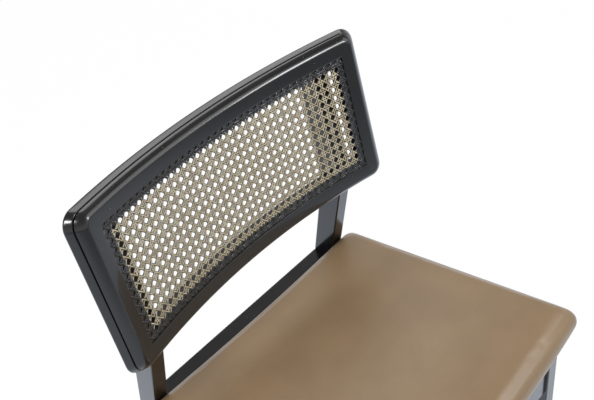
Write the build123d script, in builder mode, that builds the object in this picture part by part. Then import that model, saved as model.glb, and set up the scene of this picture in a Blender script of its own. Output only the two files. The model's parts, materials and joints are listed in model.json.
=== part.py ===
"""Dining chair: black lacquered wood, a curved back with a cane panel, a leather seat pad.

Lengths are in millimetres and angles in degrees. The chair faces -Y, +Z is up, and the
sitter's left is +X. The origin is on the floor, below the middle of the chair.
"""
from build123d import *
import os
from math import asin, cos, degrees, radians, sin, tan

os.makedirs("parts", exist_ok=True)

# Main sizes of the chair
back_middle_height = 715
seat_rail_height = 410
seat_reach_depth = 405
frame_width = 440
board_thickness = 25
edge_round_radius = 2
cut_overrun = 6

# Back frame: two bent layers with a groove between them, on the outside. Its four sides spread
# to the rear.
back_tilt_angle = 9.8
back_radius = 888
back_length = 512
back_height = 237
layer_thickness = 12
rail_flare_angle = 20.6
end_flare_angle = 28.8
back_corner_radius = 16
front_round_radius = 9.5
rear_round_radius = 4
groove_half_width = 1
groove_depth = 4
cane_length = 464
cane_height = 187
cane_recess_depth = 1.2
cane_thickness = 1.4
cane_clearance = 0.3
cane_hole_width = 24
cane_border_width = 14
cane_columns = 12
cane_rows = 4
cane_hole_sides = 8
ledge_width = 11
back_dowel_diameter = 4
back_dowel_length = 26

# Rear posts, bent where the back frame stands on their shoulder
post_bend_offset = 25
post_bend_drop_height = 120
post_rake_angle = 11.9
post_upper_angle = 6.7
post_bend_depth = 41
post_foot_depth = 29
post_bend_radius = 90
post_upper_height = 90
post_top_angle = 38

# Front legs
front_leg_setback_length = 12.5
front_leg_depth = 40
front_leg_foot_depth = 28

# Rails between the legs
side_rail_thickness = 21
side_rail_height = 58
apron_thickness = 19
apron_setback_depth = 4
apron_height = 62
apron_arch_height = 14
rear_rail_thickness = 34
rear_rail_height = 70
rear_rail_rise_height = 13
rail_dowel_diameter = 8
rail_dowel_length = 28
rail_dowel_margin_height = 16
dowel_end_gap = 1

# Corner blocks with their screws, and the bolts that hold the seat pad
block_height = 25
block_width = 80
block_length = 100
block_end_width = 35
block_screw_along_length = 88
block_screw_across_width = 60
screw_diameter = 4
screw_head_diameter = 8
screw_head_height = 3
screw_head_clearance = 0.3
screw_grip_length = 18
screw_bite_length = 13
bolt_in_width = 20
bolt_along_length = 70
bolt_diameter = 6
bolt_head_diameter = 12
bolt_head_height = 4
bolt_clearance = 0.5
bolt_bite_length = 10
washer_diameter = 18
washer_height = 1.5
tee_nut_barrel_diameter = 8
tee_nut_flange_diameter = 19
tee_nut_flange_height = 1.5

# Screws through the posts into the back frame, under wooden plugs
back_screw_bite_length = 14
back_screw_grip_length = 12
plug_diameter = 10
plug_height = 5

# Glides under the legs
glide_diameter = 18
glide_height = 5
glide_nail_diameter = 2.5
glide_nail_length = 16

# Seat pad
seat_front_half_width = 286
seat_rear_half_width = 249
seat_rear_offset = 19.5
seat_front_bow_depth = 12
seat_rear_hollow_depth = 5
seat_front_corner_radius = 11
seat_rear_corner_radius = 11
cushion_height = 55
leather_thickness = 1.4
dust_cover_thickness = 0.8
dust_cover_margin_width = 14
seat_board_thickness = 12
leather_return_width = 30

# The pad's section: how far each outline lies inside the widest one, in shares of the rim's width
# and of half the pad's depth, and how high it lies, in shares of the pad's height
rim_width = 17
rear_rim_fullness_width = 8.5
rim_inset_shares = (0.7, 0.3, 0.08, 0, 0.06, 0.25, 0.57, 1)
crown_inset_shares = (0.12, 0.22, 0.4, 0.63)
section_height_shares = (0, 0.12, 0.25, 0.4, 0.54, 0.68, 0.79, 0.865, 0.92, 0.96, 0.987, 1)
corner_growth_share = 0.1

# Places that follow from the sizes
inner_face = frame_width / 2 - board_thickness
foot_back = post_bend_offset + tan(radians(post_rake_angle)) * (
    back_middle_height - post_bend_drop_height - glide_height
)
back_y = (seat_reach_depth - foot_back) / 2
bend_height = back_middle_height - post_bend_drop_height
leg_front = back_y - seat_reach_depth + front_leg_setback_length
leg_back = leg_front + front_leg_depth
apron_front = leg_front + apron_setback_depth
apron_back = apron_front + apron_thickness
side_rail_bottom = seat_rail_height - side_rail_height
rear_rail_top = seat_rail_height + rear_rail_rise_height
rear_rail_bottom = rear_rail_top - rear_rail_height
cover_bottom = seat_rail_height + dust_cover_thickness
board_bottom = cover_bottom + leather_thickness
board_top = board_bottom + seat_board_thickness
pad_half_depth = (seat_reach_depth + seat_rear_offset) / 2
section_insets = [rim_width * share for share in rim_inset_shares]
section_insets += [pad_half_depth * share for share in crown_inset_shares]
sides = {"right": -1, "left": 1}

# The back frame's own plane: X along the back, Y out of its rear, Z up its face
back_plane = Plane(
    origin=(0, back_y, back_middle_height),
    x_dir=(1, 0, 0),
    z_dir=(0, sin(radians(back_tilt_angle)), cos(radians(back_tilt_angle))),
)


def post_back(height):
    """Y of a post's back face below its bend."""
    return back_y + post_bend_offset + tan(radians(post_rake_angle)) * (bend_height - height)


def post_front(height):
    """Y of a post's front face below its bend."""
    rise_share = (height - glide_height) / (bend_height - glide_height)
    depth = post_foot_depth + (post_bend_depth - post_foot_depth) * rise_share
    return post_back(height) - depth


# The back frame


def bent_block(near, far, half_length, low, high):
    """Block of the bent back between two depths behind the front face, and two heights."""
    turn = degrees(half_length / back_radius)
    near_radius = back_radius + near
    far_radius = back_radius + far
    with BuildPart() as block:
        with BuildSketch(back_plane.offset(low)):
            with BuildLine():
                CenterArc((0, -back_radius), near_radius, 90 - turn, 2 * turn)
                CenterArc((0, -back_radius), far_radius, 90 - turn, 2 * turn)
                for side in (-1, 1):
                    across = side * sin(radians(turn))
                    along = cos(radians(turn))
                    Line(
                        (near_radius * across, near_radius * along - back_radius),
                        (far_radius * across, far_radius * along - back_radius),
                    )
            make_face()
        extrude(amount=high - low)
    return block.part


bend_centre = back_plane.from_local_coords((0, -back_radius, 0))


def frame_half_height(depth):
    """Half the back frame's height at a depth behind its front face."""
    return back_height / 2 + tan(radians(rail_flare_angle)) * depth


def turned_block(section, half_length):
    """Bent block from a section's depths and heights, to both sides of the back's middle."""
    turn = half_length / back_radius
    outward = back_plane.y_dir * cos(turn) - back_plane.x_dir * sin(turn)
    along = back_plane.x_dir * cos(turn) + back_plane.y_dir * sin(turn)
    with BuildPart() as block:
        with BuildSketch(Plane(origin=bend_centre, x_dir=outward, z_dir=along)):
            with BuildLine():
                Polyline(*[(back_radius + depth, height) for depth, height in section], close=True)
            make_face()
        revolve(axis=Axis(bend_centre, back_plane.z_dir * -1), revolution_arc=degrees(2 * turn))
    return block.part


def flared_block(near, far, inset):
    """Bent block of the back frame between two depths, inside its sides by one inset."""
    near_half = frame_half_height(near) - inset
    far_half = frame_half_height(far) - inset
    spread = radians(end_flare_angle)
    reach = back_length / 2 + tan(spread) * far + 2 * cut_overrun
    with BuildPart() as block:
        add(turned_block(
            ((near, -near_half), (far, -far_half), (far, far_half), (near, near_half)), reach
        ))
        for side in sides.values():
            turn = back_length / 2 / back_radius + spread
            facing = back_plane.x_dir * (side * cos(turn)) - back_plane.y_dir * sin(turn)
            turn = side * back_length / 2 / back_radius
            edge_place = bend_centre + (
                back_plane.x_dir * sin(turn) + back_plane.y_dir * cos(turn)
            ) * back_radius
            split(bisect_by=Plane(origin=edge_place - facing * inset, z_dir=facing), keep=Keep.BOTTOM)
    return block.part


def rounded_block(near, far, inset, corner):
    """Flared block with its four corners rounded."""
    with BuildPart() as block:
        add(flared_block(near, far, inset))
        ends = block.faces().filter_by(GeomType.PLANE).sort_by(Axis.X)
        across = ends[0].edges() + ends[-1].edges()
        fillet(across.filter_by(lambda edge: edge.length < back_height / 2), corner)
    return block.part


def round_rim(part, depth, amount):
    """Part with the rim of its bent face at one depth rounded."""
    with BuildPart() as rounded:
        add(part)
        faces = rounded.faces().filter_by(GeomType.CYLINDER)
        bent = faces.filter_by(lambda face: abs(face.radius - back_radius - depth) < amount / 2)
        fillet(bent.sort_by(SortBy.AREA)[-1].outer_wire().edges(), amount)
    return rounded.part


back_thickness = 2 * layer_thickness
near_groove = layer_thickness - groove_half_width
far_groove = layer_thickness + groove_half_width
opening_length = cane_length - 2 * ledge_width
opening_height = cane_height - 2 * ledge_width
ledge_depth = cane_recess_depth + cane_thickness

with BuildPart() as groove:
    add(flared_block(near_groove, far_groove, -cut_overrun))
    add(rounded_block(
        0, back_thickness, groove_depth, back_corner_radius - groove_depth
    ), mode=Mode.SUBTRACT)

with BuildPart() as front_layer:
    add(round_rim(
        rounded_block(0, layer_thickness, 0, back_corner_radius), 0, front_round_radius
    ))
    add(bent_block(
        -cut_overrun, ledge_depth, cane_length / 2, -cane_height / 2, cane_height / 2
    ), mode=Mode.SUBTRACT)
    add(bent_block(
        -cut_overrun, layer_thickness + cut_overrun, opening_length / 2,
        -opening_height / 2, opening_height / 2,
    ), mode=Mode.SUBTRACT)
    add(groove.part, mode=Mode.SUBTRACT)

with BuildPart() as rear_layer:
    add(round_rim(
        rounded_block(layer_thickness, back_thickness, 0, back_corner_radius),
        back_thickness, rear_round_radius,
    ))
    add(bent_block(
        -cut_overrun, back_thickness + cut_overrun, opening_length / 2,
        -opening_height / 2, opening_height / 2,
    ), mode=Mode.SUBTRACT)
    add(groove.part, mode=Mode.SUBTRACT)

# Dowels stand in the middle of each stile, across the joint with the rails
stile_middle = (back_length / 2 + opening_length / 2) / 2
dowel_depths = ((ledge_depth + near_groove) / 2, (far_groove + back_thickness) / 2)


def back_dowel_planes():
    """Planes across the back frame's joints, one for each dowel."""
    planes = []
    for depth in dowel_depths:
        for side in sides.values():
            turn = side * stile_middle / back_radius
            radius = back_radius + depth
            for end in (-1, 1):
                place = back_plane.from_local_coords(
                    (radius * sin(turn), radius * cos(turn) - back_radius, end * opening_height / 2)
                )
                planes.append(Plane(origin=place, x_dir=(1, 0, 0), z_dir=back_plane.z_dir))
    return planes


def bars(planes, diameter, length):
    """Round bars of one size, each centred on its plane."""
    with BuildPart() as group:
        for plane in planes:
            with BuildSketch(plane):
                Circle(diameter / 2)
            extrude(amount=length / 2, both=True)
    return group.part


back_dowel_holes = bars(back_dowel_planes(), back_dowel_diameter, back_dowel_length + 2 * dowel_end_gap)

with BuildPart() as back_dowels:
    add(bars(back_dowel_planes(), back_dowel_diameter, back_dowel_length))
back_dowels.part.label = "back_dowels"
export_step(back_dowels.part, "parts/back_dowels.step")


# Screws through the posts, square to the back, in the middle of the frame's wide rails
screw_height = (back_height / 2 + opening_height / 2) / 2
post_middle = frame_width / 2 - board_thickness / 2
rear_face_radius = back_radius + back_thickness
rear_face_depth = rear_face_radius * cos(asin(post_middle / rear_face_radius)) - back_radius
back_screw_planes = [
    Plane(
        origin=back_plane.from_local_coords((side * post_middle, rear_face_depth, up * screw_height)),
        x_dir=(1, 0, 0),
        z_dir=back_plane.y_dir,
    )
    for side in sides.values()
    for up in (-1, 1)
]


def screws(planes, grip, bite, clearance, head_reach):
    """Screws with their points ahead of the planes' faces and their heads behind them."""
    with BuildPart() as group:
        for plane in planes:
            with BuildSketch(plane.offset(-bite)):
                Circle(screw_diameter / 2)
            extrude(amount=bite + grip)
            with BuildSketch(plane.offset(grip)):
                Circle(screw_head_diameter / 2 + clearance)
            extrude(amount=head_reach)
    return group.part


back_screw_holes = screws(
    back_screw_planes, back_screw_grip_length, back_screw_bite_length, 0, screw_head_height
)

with BuildPart() as back_screws:
    add(back_screw_holes)
back_screws.part.label = "back_screws"
export_step(back_screws.part, "parts/back_screws.step")

layers = {"front": front_layer, "rear": rear_layer}
top_joint = back_plane.offset(opening_height / 2)
bottom_joint = back_plane.offset(-opening_height / 2)

for place, whole in layers.items():
    with BuildPart() as top_rail:
        add(whole.part)
        split(bisect_by=top_joint, keep=Keep.TOP)
        add(back_dowel_holes, mode=Mode.SUBTRACT)
        add(back_screw_holes, mode=Mode.SUBTRACT)
    top_rail.part.label = f"back_{place}_top_rail"
    export_step(top_rail.part, f"parts/back_{place}_top_rail.step")

    with BuildPart() as bottom_rail:
        add(whole.part)
        split(bisect_by=bottom_joint, keep=Keep.BOTTOM)
        add(back_dowel_holes, mode=Mode.SUBTRACT)
        add(back_screw_holes, mode=Mode.SUBTRACT)
    bottom_rail.part.label = f"back_{place}_bottom_rail"
    export_step(bottom_rail.part, f"parts/back_{place}_bottom_rail.step")

    for name, side in sides.items():
        with BuildPart() as stile:
            add(whole.part)
            split(bisect_by=top_joint, keep=Keep.BOTTOM)
            split(bisect_by=bottom_joint, keep=Keep.TOP)
            split(bisect_by=Plane.YZ, keep=Keep.TOP if side > 0 else Keep.BOTTOM)
            add(back_dowel_holes, mode=Mode.SUBTRACT)
        stile.part.label = f"back_{place}_stile_{name}"
        export_step(stile.part, f"parts/back_{place}_stile_{name}.step")

# A plain grid of eight-sided holes stands for the fine weave
cane_middle_radius = back_radius + cane_recess_depth + cane_thickness / 2
column_spacing = (opening_length - cane_border_width) / cane_columns
row_spacing = (opening_height - cane_border_width) / cane_rows

with BuildPart() as cane_holes:
    for column in range(cane_columns):
        turn = (column - (cane_columns - 1) / 2) * column_spacing / cane_middle_radius
        outward = back_plane.x_dir * sin(turn) + back_plane.y_dir * cos(turn)
        along = back_plane.x_dir * cos(turn) - back_plane.y_dir * sin(turn)
        middle = back_plane.from_local_coords((0, -back_radius, 0)) + outward * cane_middle_radius
        with BuildSketch(Plane(origin=middle, x_dir=along, z_dir=outward)):
            with GridLocations(column_spacing, row_spacing, 1, cane_rows):
                RegularPolygon(
                    cane_hole_width / 2, cane_hole_sides, major_radius=False,
                    rotation=180 / cane_hole_sides,
                )
        extrude(amount=cane_thickness, both=True)

with BuildPart() as cane_panel:
    add(bent_block(
        cane_recess_depth, ledge_depth, cane_length / 2 - cane_clearance,
        cane_clearance - cane_height / 2, cane_height / 2 - cane_clearance,
    ))
    add(cane_holes.part, mode=Mode.SUBTRACT)
cane_panel.part.label = "cane_panel"
export_step(cane_panel.part, "parts/cane_panel.step")

# Dowels of the rails between the legs

side_rail_middle = inner_face + side_rail_thickness / 2
apron_middle = apron_front + apron_thickness / 2
low_dowel = side_rail_bottom + rail_dowel_margin_height
high_dowel = seat_rail_height - rail_dowel_margin_height


def rear_rail_middle(height):
    """Y of the middle of the rear rail's thickness, which leans as the posts do."""
    return post_back(height) - rear_rail_thickness / 2


rail_dowel_planes = []
for side in sides.values():
    for height in (low_dowel, high_dowel):
        for along in (leg_back, post_front(height)):
            rail_dowel_planes.append(
                Plane(origin=(side * side_rail_middle, along, height), x_dir=(1, 0, 0), z_dir=(0, 1, 0))
            )
        for along in (apron_middle, rear_rail_middle(height)):
            rail_dowel_planes.append(
                Plane(origin=(side * inner_face, along, height), x_dir=(0, 1, 0), z_dir=(1, 0, 0))
            )
rail_dowel_holes = bars(rail_dowel_planes, rail_dowel_diameter, rail_dowel_length + 2 * dowel_end_gap)

with BuildPart() as rail_dowels:
    add(bars(rail_dowel_planes, rail_dowel_diameter, rail_dowel_length))
rail_dowels.part.label = "rail_dowels"
export_step(rail_dowels.part, "parts/rail_dowels.step")

# Rear posts, front legs and their glides

foot_middles = {
    "front": leg_front + front_leg_foot_depth / 2,
    "rear": post_back(glide_height) - post_foot_depth / 2,
}
glide_nail_planes = [
    Plane(origin=(side * post_middle, middle, glide_height + glide_nail_length / 2))
    for side in sides.values()
    for middle in foot_middles.values()
]
glide_nail_holes = bars(glide_nail_planes, glide_nail_diameter, glide_nail_length)

with BuildPart() as glide_nails:
    add(bars(glide_nail_planes, glide_nail_diameter, glide_nail_length))
glide_nails.part.label = "glide_nails"
export_step(glide_nails.part, "parts/glide_nails.step")

with BuildPart() as glides:
    for side in sides.values():
        for middle in foot_middles.values():
            with BuildSketch(Plane((side * post_middle, middle, 0))):
                Circle(glide_diameter / 2)
            extrude(amount=glide_height)
    fillet(glides.edges().group_by(Axis.Z)[0], edge_round_radius / 2)
glides.part.label = "glides"
export_step(glides.part, "parts/glides.step")

back_envelope = turned_block(
    (
        (-back_radius / 2, -back_height / 2),
        (0, -back_height / 2),
        (back_thickness, -frame_half_height(back_thickness)),
        (back_thickness, back_height),
        (-back_radius / 2, back_height),
    ),
    frame_width,
)
plug_floor = back_screw_grip_length + screw_head_height
upper_rise = post_bend_drop_height + post_upper_height
top_back = back_y + post_bend_offset + tan(radians(post_upper_angle)) * upper_rise
top_height = back_middle_height + post_upper_height
top_front = post_front(top_height)
top_front_height = top_height + tan(radians(post_top_angle)) * (top_back - top_front)

for name, side in sides.items():
    outer_side = Plane.YZ.offset(side * frame_width / 2)
    with BuildPart() as post:
        with BuildSketch(outer_side):
            with BuildLine():
                Polyline(
                    (post_front(glide_height), glide_height),
                    (post_front(top_front_height), top_front_height),
                    (top_back, top_height),
                    (post_back(bend_height), bend_height),
                    (post_back(glide_height), glide_height),
                    close=True,
                )
            make_face()
        extrude(amount=-side * board_thickness)
        bends = post.edges().filter_by(Axis.X).sort_by(Axis.Y)
        bend = bends.filter_by(lambda edge: abs(edge.center().Z - bend_height) < cut_overrun)
        fillet(bend.sort_by(Axis.Y)[-1], post_bend_radius)
        fillet(post.faces().filter_by(Axis.X).edges(), edge_round_radius)
        add(back_envelope, mode=Mode.SUBTRACT)
        add(rail_dowel_holes, mode=Mode.SUBTRACT)
        add(back_screw_holes, mode=Mode.SUBTRACT)
        add(glide_nail_holes, mode=Mode.SUBTRACT)
        for plane in back_screw_planes:
            with BuildSketch(plane.offset(plug_floor)):
                Circle(plug_diameter / 2)
            extrude(amount=board_thickness, mode=Mode.SUBTRACT)
    post.part.label = f"rear_post_{name}"
    export_step(post.part, f"parts/rear_post_{name}.step")

    with BuildPart() as leg:
        with BuildSketch(outer_side):
            with BuildLine():
                Polyline(
                    (leg_front, glide_height),
                    (leg_front, seat_rail_height),
                    (leg_back, seat_rail_height),
                    (leg_back, side_rail_bottom),
                    (leg_front + front_leg_foot_depth, glide_height),
                    close=True,
                )
            make_face()
        extrude(amount=-side * board_thickness)
        fillet(leg.faces().filter_by(Axis.X).edges(), edge_round_radius)
        add(rail_dowel_holes, mode=Mode.SUBTRACT)
        add(glide_nail_holes, mode=Mode.SUBTRACT)
    leg.part.label = f"front_leg_{name}"
    export_step(leg.part, f"parts/front_leg_{name}.step")

with BuildPart() as screw_plugs:
    for plane in back_screw_planes:
        with BuildSketch(plane.offset(plug_floor)):
            Circle(plug_diameter / 2)
        extrude(amount=plug_height)
screw_plugs.part.label = "screw_plugs"
export_step(screw_plugs.part, "parts/screw_plugs.step")

# Corner blocks: their long side lies on the side rail, their wide one on the apron or rear rail


def rear_rail_front(height):
    """Y of the rear rail's front face."""
    return post_back(height) - rear_rail_thickness


block_bottom = seat_rail_height - block_height
block_middle = seat_rail_height - block_height / 2
block_corners = {"front": (apron_back, 1), "rear": (rear_rail_front(seat_rail_height), -1)}
block_faces = {
    "front": Plane(origin=(0, apron_back, seat_rail_height), x_dir=(1, 0, 0), z_dir=(0, 1, 0)),
    "rear": Plane(
        origin=(0, rear_rail_front(seat_rail_height), seat_rail_height),
        x_dir=(1, 0, 0),
        z_dir=(0, -cos(radians(post_rake_angle)), -sin(radians(post_rake_angle))),
    ),
}
block_screw_planes = []
bolt_places = []
for side in sides.values():
    for corner, inward in block_corners.values():
        bolt_places.append((side * (inner_face - bolt_in_width), corner + inward * bolt_along_length))
        block_screw_planes.append(Plane(
            origin=(side * inner_face, corner + inward * block_screw_along_length, block_middle),
            x_dir=(0, 1, 0),
            z_dir=(-side, 0, 0),
        ))
        wide_face = corner if inward > 0 else rear_rail_front(block_middle)
        block_screw_planes.append(Plane(
            origin=(side * (inner_face - block_screw_across_width), wide_face, block_middle),
            x_dir=(1, 0, 0),
            z_dir=(0, inward, 0),
        ))
block_screw_holes = screws(block_screw_planes, screw_grip_length, screw_bite_length, 0, screw_head_height)
block_screw_pockets = screws(
    block_screw_planes, screw_grip_length, screw_bite_length, screw_head_clearance, block_width
)

with BuildPart() as block_screws:
    add(block_screw_holes)
block_screws.part.label = "block_screws"
export_step(block_screws.part, "parts/block_screws.step")

for name, side in sides.items():
    for place, (corner, inward) in block_corners.items():
        with BuildPart() as block:
            with BuildSketch(Plane.XY.offset(block_bottom)):
                with BuildLine():
                    Polyline(
                        (side * inner_face, corner - inward * block_height),
                        (side * (inner_face - block_width), corner - inward * block_height),
                        (side * (inner_face - block_width), corner),
                        (side * (inner_face - block_end_width), corner + inward * block_length),
                        (side * inner_face, corner + inward * block_length),
                        close=True,
                    )
                make_face()
            extrude(amount=block_height)
            split(bisect_by=block_faces[place], keep=Keep.TOP)
            add(block_screw_pockets, mode=Mode.SUBTRACT)
            with BuildSketch(Plane.XY.offset(block_bottom)):
                with Locations(*bolt_places):
                    Circle(bolt_diameter / 2 + bolt_clearance)
            extrude(amount=block_height, mode=Mode.SUBTRACT)
        block.part.label = f"corner_block_{place}_{name}"
        export_step(block.part, f"parts/corner_block_{place}_{name}.step")

# Rails between the legs and posts

for name, side in sides.items():
    with BuildPart() as rail:
        with BuildSketch(Plane.YZ.offset(side * inner_face)):
            with BuildLine():
                Polyline(
                    (leg_back, side_rail_bottom),
                    (leg_back, seat_rail_height),
                    (post_front(seat_rail_height), seat_rail_height),
                    (post_front(side_rail_bottom), side_rail_bottom),
                    close=True,
                )
            make_face()
        extrude(amount=side * side_rail_thickness)
        add(rail_dowel_holes, mode=Mode.SUBTRACT)
        add(block_screw_holes, mode=Mode.SUBTRACT)
    rail.part.label = f"side_rail_{name}"
    export_step(rail.part, f"parts/side_rail_{name}.step")

with BuildPart() as front_apron:
    with BuildSketch(Plane.XZ.offset(-apron_front)):
        with BuildLine():
            low = seat_rail_height - apron_height
            Polyline(
                (-inner_face, low),
                (-inner_face, seat_rail_height),
                (inner_face, seat_rail_height),
                (inner_face, low),
            )
            ThreePointArc((inner_face, low), (0, low + apron_arch_height), (-inner_face, low))
        make_face()
    extrude(amount=-apron_thickness)
    add(rail_dowel_holes, mode=Mode.SUBTRACT)
    add(block_screw_holes, mode=Mode.SUBTRACT)
front_apron.part.label = "front_apron"
export_step(front_apron.part, "parts/front_apron.step")

with BuildPart() as rear_cross_rail:
    with BuildSketch(Plane.YZ.offset(-inner_face)):
        with BuildLine():
            Polyline(
                (rear_rail_front(rear_rail_bottom), rear_rail_bottom),
                (rear_rail_front(rear_rail_top), rear_rail_top),
                (post_back(rear_rail_top), rear_rail_top),
                (post_back(rear_rail_bottom), rear_rail_bottom),
                close=True,
            )
        make_face()
    extrude(amount=2 * inner_face)
    add(rail_dowel_holes, mode=Mode.SUBTRACT)
    add(block_screw_holes, mode=Mode.SUBTRACT)
rear_cross_rail.part.label = "rear_rail"
export_step(rear_cross_rail.part, "parts/rear_rail.step")

# Seat pad


def seat_outline(inset):
    """Plan of the seat pad, drawn inside its widest outline by one inset. The rear rim is fuller."""
    front = back_y - seat_reach_depth + inset
    rear = back_y + seat_rear_offset - inset + rear_rim_fullness_width * min(1, inset / rim_width)
    front_half = seat_front_half_width - inset
    rear_half = seat_rear_half_width - inset
    growth = inset * corner_growth_share
    with BuildSketch() as outline:
        with BuildLine():
            front_corners = [(side * front_half, front + seat_front_bow_depth) for side in (-1, 1)]
            rear_corners = [(side * rear_half, rear) for side in (-1, 1)]
            ThreePointArc(front_corners[0], (0, front), front_corners[1])
            Line(front_corners[1], rear_corners[1])
            ThreePointArc(rear_corners[1], (0, rear - seat_rear_hollow_depth), rear_corners[0])
            Line(rear_corners[0], front_corners[0])
        make_face()
        fillet(outline.vertices().group_by(Axis.Y)[0], seat_front_corner_radius + growth)
        fillet(outline.vertices().group_by(Axis.Y)[-1], seat_rear_corner_radius + growth)
    return outline.sketch


def pad_form(skin):
    """Crowned form of the pad with its sides drawn in, inside its surface by one skin."""
    with BuildPart() as form:
        for inset, share in zip(section_insets, section_height_shares):
            height = cover_bottom + skin + share * (cushion_height - 2 * skin)
            with BuildSketch(Plane.XY.offset(height)):
                add(seat_outline(inset + skin))
        loft(ruled=True)
    return form.part


inner_form = pad_form(leather_thickness)

with BuildPart() as leather_cover:
    add(pad_form(0))
    add(inner_form, mode=Mode.SUBTRACT)
    with BuildSketch(Plane.XY.offset(cover_bottom)):
        add(seat_outline(section_insets[0] + leather_return_width))
    extrude(amount=leather_thickness, mode=Mode.SUBTRACT)
    with BuildSketch(Plane.XY.offset(cover_bottom)):
        with Locations(*bolt_places):
            Circle(bolt_diameter / 2 + bolt_clearance)
    extrude(amount=leather_thickness, mode=Mode.SUBTRACT)
leather_cover.part.label = "leather_cover"
export_step(leather_cover.part, "parts/leather_cover.step")

with BuildPart() as seat_foam:
    add(inner_form)
    split(bisect_by=Plane.XY.offset(board_top), keep=Keep.TOP)
seat_foam.part.label = "seat_foam"
export_step(seat_foam.part, "parts/seat_foam.step")

with BuildPart() as plywood_board:
    with BuildSketch(Plane.XY.offset(board_bottom)):
        add(seat_outline(section_insets[0] + leather_thickness))
    extrude(amount=seat_board_thickness)
    with BuildSketch(Plane.XY.offset(board_bottom)):
        with Locations(*bolt_places):
            Circle(tee_nut_barrel_diameter / 2)
    extrude(amount=seat_board_thickness, mode=Mode.SUBTRACT)
    with BuildSketch(Plane.XY.offset(board_top)):
        with Locations(*bolt_places):
            Circle(tee_nut_flange_diameter / 2)
    extrude(amount=-tee_nut_flange_height, mode=Mode.SUBTRACT)
plywood_board.part.label = "seat_board"
export_step(plywood_board.part, "parts/seat_board.step")

with BuildPart() as dust_cover_cloth:
    with BuildSketch(Plane.XY.offset(seat_rail_height)):
        add(seat_outline(section_insets[0] + dust_cover_margin_width))
        with Locations(*bolt_places):
            Circle(bolt_diameter / 2 + bolt_clearance, mode=Mode.SUBTRACT)
    extrude(amount=dust_cover_thickness)
dust_cover_cloth.part.label = "dust_cover"
export_step(dust_cover_cloth.part, "parts/dust_cover.step")

with BuildPart() as tee_nuts:
    with BuildSketch(Plane.XY.offset(board_top - tee_nut_flange_height)):
        with Locations(*bolt_places):
            Circle(tee_nut_flange_diameter / 2)
            Circle(bolt_diameter / 2, mode=Mode.SUBTRACT)
    extrude(amount=tee_nut_flange_height)
    with BuildSketch(Plane.XY.offset(board_bottom)):
        with Locations(*bolt_places):
            Circle(tee_nut_barrel_diameter / 2)
            Circle(bolt_diameter / 2, mode=Mode.SUBTRACT)
    extrude(amount=seat_board_thickness - tee_nut_flange_height)
tee_nuts.part.label = "tee_nuts"
export_step(tee_nuts.part, "parts/tee_nuts.step")

with BuildPart() as washers:
    with BuildSketch(Plane.XY.offset(block_bottom)):
        with Locations(*bolt_places):
            Circle(washer_diameter / 2)
            Circle(bolt_diameter / 2, mode=Mode.SUBTRACT)
    extrude(amount=-washer_height)
washers.part.label = "washers"
export_step(washers.part, "parts/washers.step")

with BuildPart() as seat_bolts:
    with BuildSketch(Plane.XY.offset(block_bottom - washer_height)):
        with Locations(*bolt_places):
            Circle(bolt_head_diameter / 2)
    extrude(amount=-bolt_head_height)
    with BuildSketch(Plane.XY.offset(block_bottom - washer_height)):
        with Locations(*bolt_places):
            Circle(bolt_diameter / 2)
    extrude(amount=board_bottom + bolt_bite_length - block_bottom + washer_height)
seat_bolts.part.label = "seat_bolts"
export_step(seat_bolts.part, "parts/seat_bolts.step")
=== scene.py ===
"""Dining chair with a bent, cane-panelled back and a leather seat pad, dressed for a studio view.

Lengths are in metres in the chair's own frame: it faces -Y, +Z is up and the sitter's left is +X.
"""
import json
import logging
from dataclasses import dataclass
from enum import Enum
from math import cos, pi, radians, sin, tan
from typing import Callable, ClassVar, Optional, Sequence

import bmesh
import bpy
from bmesh.types import BMEdge, BMesh, BMVert
from bpy.types import Material, Node, NodeSocket, NodeTree, Object
from mathutils import Euler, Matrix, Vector, noise
from mathutils.bvhtree import BVHTree


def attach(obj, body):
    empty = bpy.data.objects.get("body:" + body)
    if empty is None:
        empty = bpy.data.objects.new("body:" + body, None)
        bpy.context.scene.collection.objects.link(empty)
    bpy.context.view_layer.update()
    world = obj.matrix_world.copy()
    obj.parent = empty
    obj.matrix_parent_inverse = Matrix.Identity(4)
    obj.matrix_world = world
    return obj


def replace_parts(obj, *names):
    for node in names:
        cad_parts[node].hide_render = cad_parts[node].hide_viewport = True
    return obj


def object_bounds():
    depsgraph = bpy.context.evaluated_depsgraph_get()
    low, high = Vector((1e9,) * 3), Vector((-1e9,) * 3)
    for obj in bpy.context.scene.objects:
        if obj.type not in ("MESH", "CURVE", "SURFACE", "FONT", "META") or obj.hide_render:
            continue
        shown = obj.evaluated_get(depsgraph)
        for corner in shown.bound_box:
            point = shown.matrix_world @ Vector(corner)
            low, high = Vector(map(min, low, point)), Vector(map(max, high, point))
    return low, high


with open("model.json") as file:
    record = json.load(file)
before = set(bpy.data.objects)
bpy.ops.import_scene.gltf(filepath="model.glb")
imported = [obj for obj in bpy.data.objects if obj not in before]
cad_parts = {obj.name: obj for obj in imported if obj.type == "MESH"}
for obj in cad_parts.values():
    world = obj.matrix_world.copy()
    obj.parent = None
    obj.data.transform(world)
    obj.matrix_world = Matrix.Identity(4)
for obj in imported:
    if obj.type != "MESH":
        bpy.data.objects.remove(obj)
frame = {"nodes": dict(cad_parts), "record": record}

log = logging.getLogger("chair")
CAD_LOW, CAD_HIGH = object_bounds()
MM = 0.001
MERGE = 0.01 * MM
TINY = 1e-9
RGB = tuple[float, float, float]
Triple = tuple[float, float, float]
SectionRow = tuple[float, float, bool]


def srgb(red: float, green: float, blue: float) -> RGB:
    """Linear colour of a colour written in 0 to 255 steps."""
    steps = (red / 255, green / 255, blue / 255)
    return tuple(c / 12.92 if c <= 0.04045 else ((c + 0.055) / 1.055) ** 2.4 for c in steps)


def unit(value: float) -> float:
    """Value kept between 0 and 1."""
    return min(1.0, max(0.0, value))


# Shader tools


class Coordinates(Enum):
    """Where a pattern reads its place from, as the Texture Coordinate node numbers its outputs."""

    GENERATED = 0
    OBJECT = 3


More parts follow.
